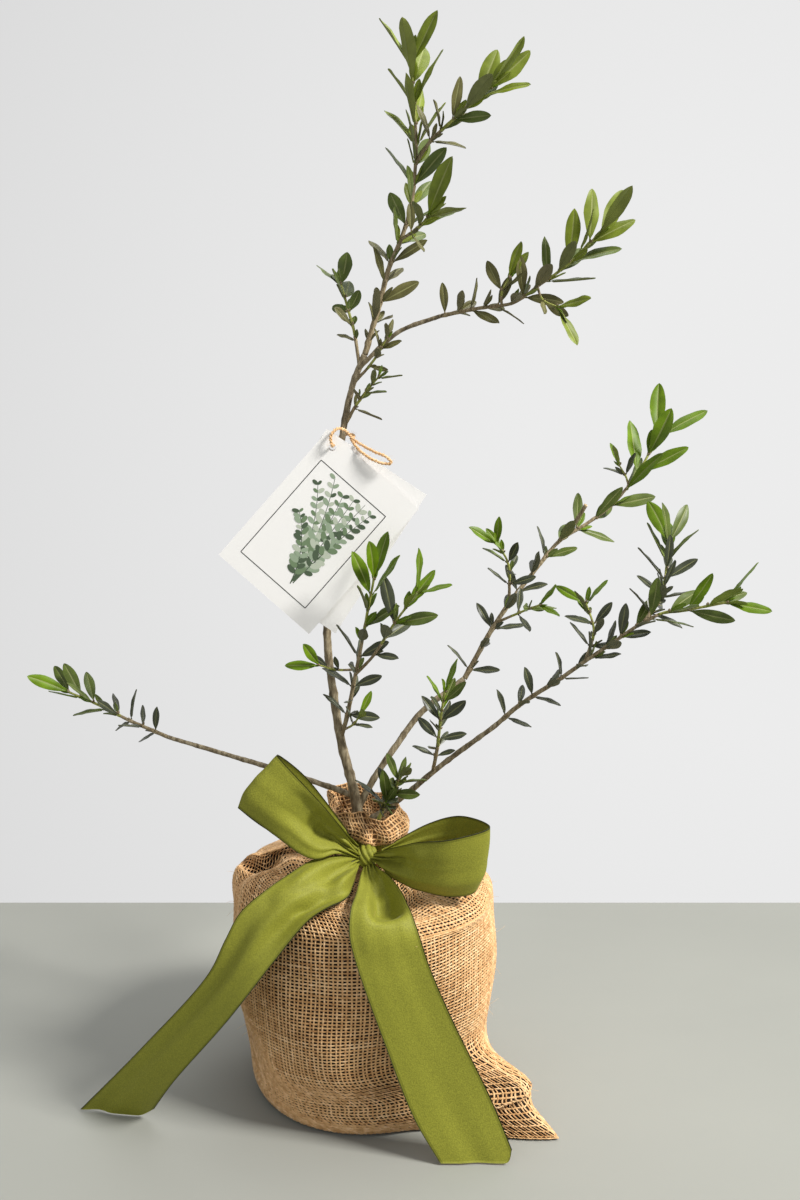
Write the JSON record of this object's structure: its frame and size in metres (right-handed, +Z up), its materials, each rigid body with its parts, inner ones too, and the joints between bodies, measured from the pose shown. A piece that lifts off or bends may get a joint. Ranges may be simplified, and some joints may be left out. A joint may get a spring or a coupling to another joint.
{
  "type": "potted olive tree",
  "caption": "Young olive tree in a nursery pot, wrapped in a burlap sack tied with a wide satin ribbon bow, with blank care cards hung on jute twine.",
  "frame": {"origin": "centre of the sack's flat underside, which stands on the surface", "axes": "+Z up along the plant's height, -Y towards the side with the bow and the cards"},
  "size_m": [0.4831, 0.1923, 0.7034],
  "materials": {
    "bark": "matt grey-brown young bark with pale lenticels",
    "leaf": "glossy leathery leaves, dull grey-olive undersides",
    "pot": "thin matt black nursery plastic",
    "soil": "crumbly dark compost",
    "burlap": "coarse plain-woven natural jute",
    "ribbon": "olive green satin with dark edge threads",
    "card": "smooth white card stock",
    "twine": "two-ply hairy jute twine"
  },
  "bodies": {
    "root": {"trunk": "bark", "bough_top_right": "bark", "bough_right_high": "bark", "bough_right_low": "bark", "bough_left": "bark", "foliage_crown": "leaf", "foliage_upper_left": "leaf", "foliage_fork": "leaf", "foliage_trunk": "leaf", "foliage_top_right": "leaf", "foliage_right_high": "leaf", "foliage_right_low": "leaf", "foliage_left": "leaf", "foliage_front": "leaf", "foliage_base_right": "leaf", "foliage_neck": "leaf", "nursery_pot": "pot", "soil": "soil", "burlap_sack": "burlap", "ribbon_band": "ribbon", "ribbon_knot": "ribbon", "ribbon_loop_left": "ribbon", "ribbon_loop_right": "ribbon", "ribbon_tail_left": "ribbon", "ribbon_tail_right": "ribbon", "care_card_front": "card", "care_card_back": "card", "twine": "twine"}
  },
  "joints": []
}
